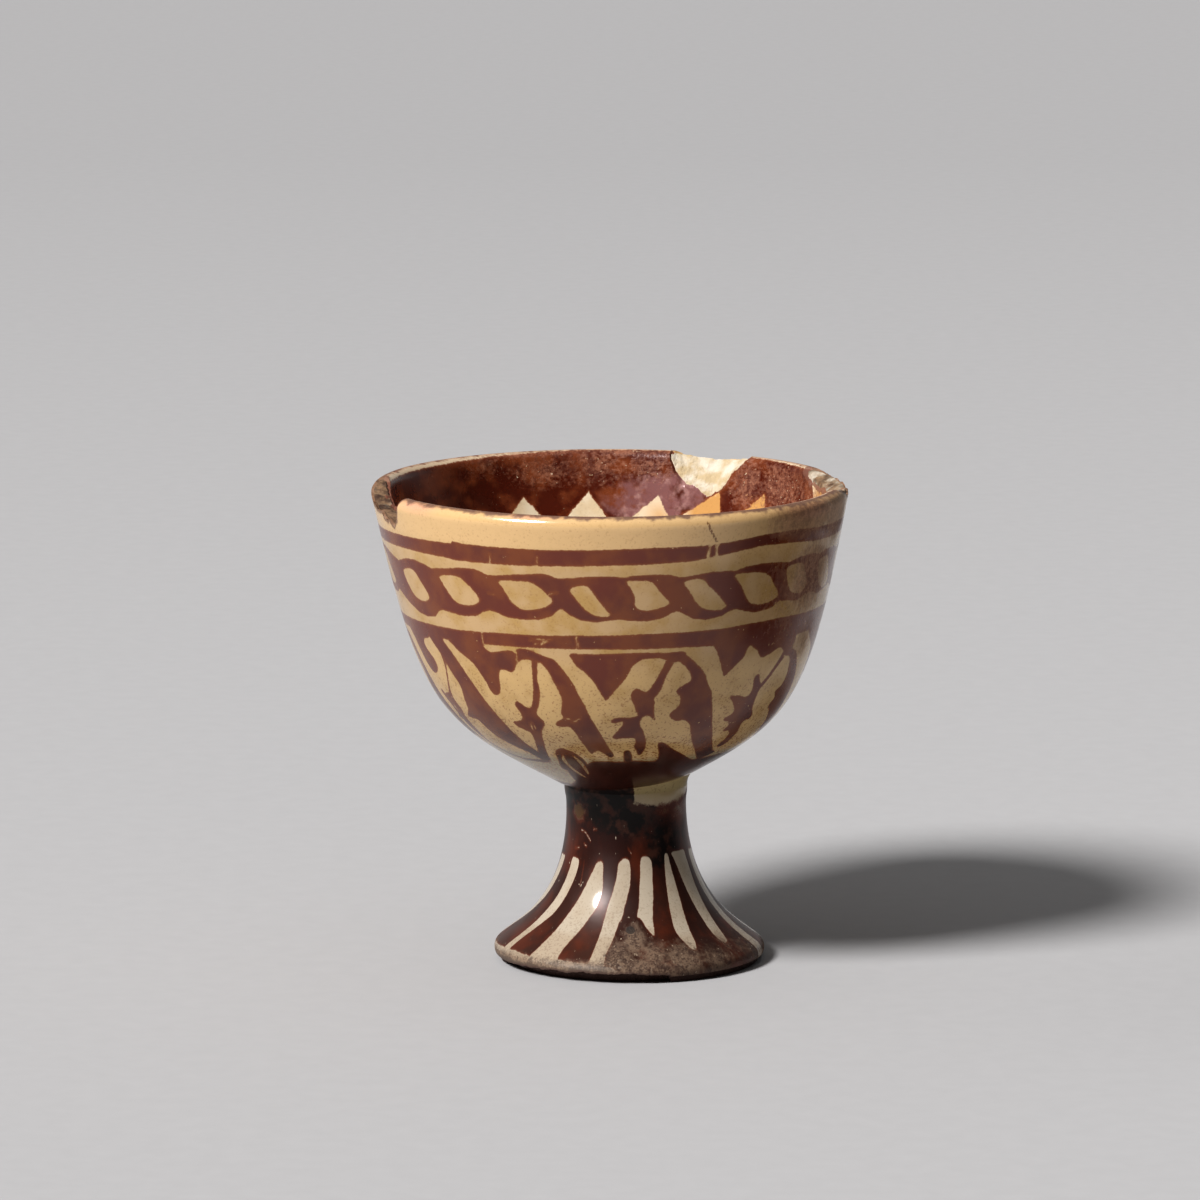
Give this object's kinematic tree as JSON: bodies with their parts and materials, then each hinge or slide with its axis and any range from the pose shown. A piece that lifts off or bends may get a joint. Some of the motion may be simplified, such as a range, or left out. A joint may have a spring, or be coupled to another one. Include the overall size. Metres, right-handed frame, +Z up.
{
  "type": "footed cup",
  "caption": "Small footed drinking cup: a flared bowl luted onto a hollow trumpet foot, glazed over stonepaste, with a painted lustre pattern and a chipped rim.",
  "frame": {"origin": "on the table, under the middle of the rim", "axes": "+Z up out of the cup's mouth, -Y towards the viewer of the picture, +X to the viewer's right"},
  "size_m": [0.0739, 0.074, 0.0752],
  "materials": {
    "paste": "bare fired stonepaste, rough and stained",
    "outer_glaze": "glossy cream glaze painted with brown lustre",
    "inner_glaze": "glossy glaze covered with worn brown lustre",
    "slip": "slip under glaze, partly bare",
    "foot_glaze": "glossy glaze with brown lustre and tapering cream stripes"
  },
  "bodies": {
    "root": {"bowl_body": "paste", "bowl_outer_glaze": "outer_glaze", "bowl_inner_glaze": "inner_glaze", "joint_slip": "slip", "foot_body": "paste", "foot_glaze": "foot_glaze"}
  },
  "joints": []
}
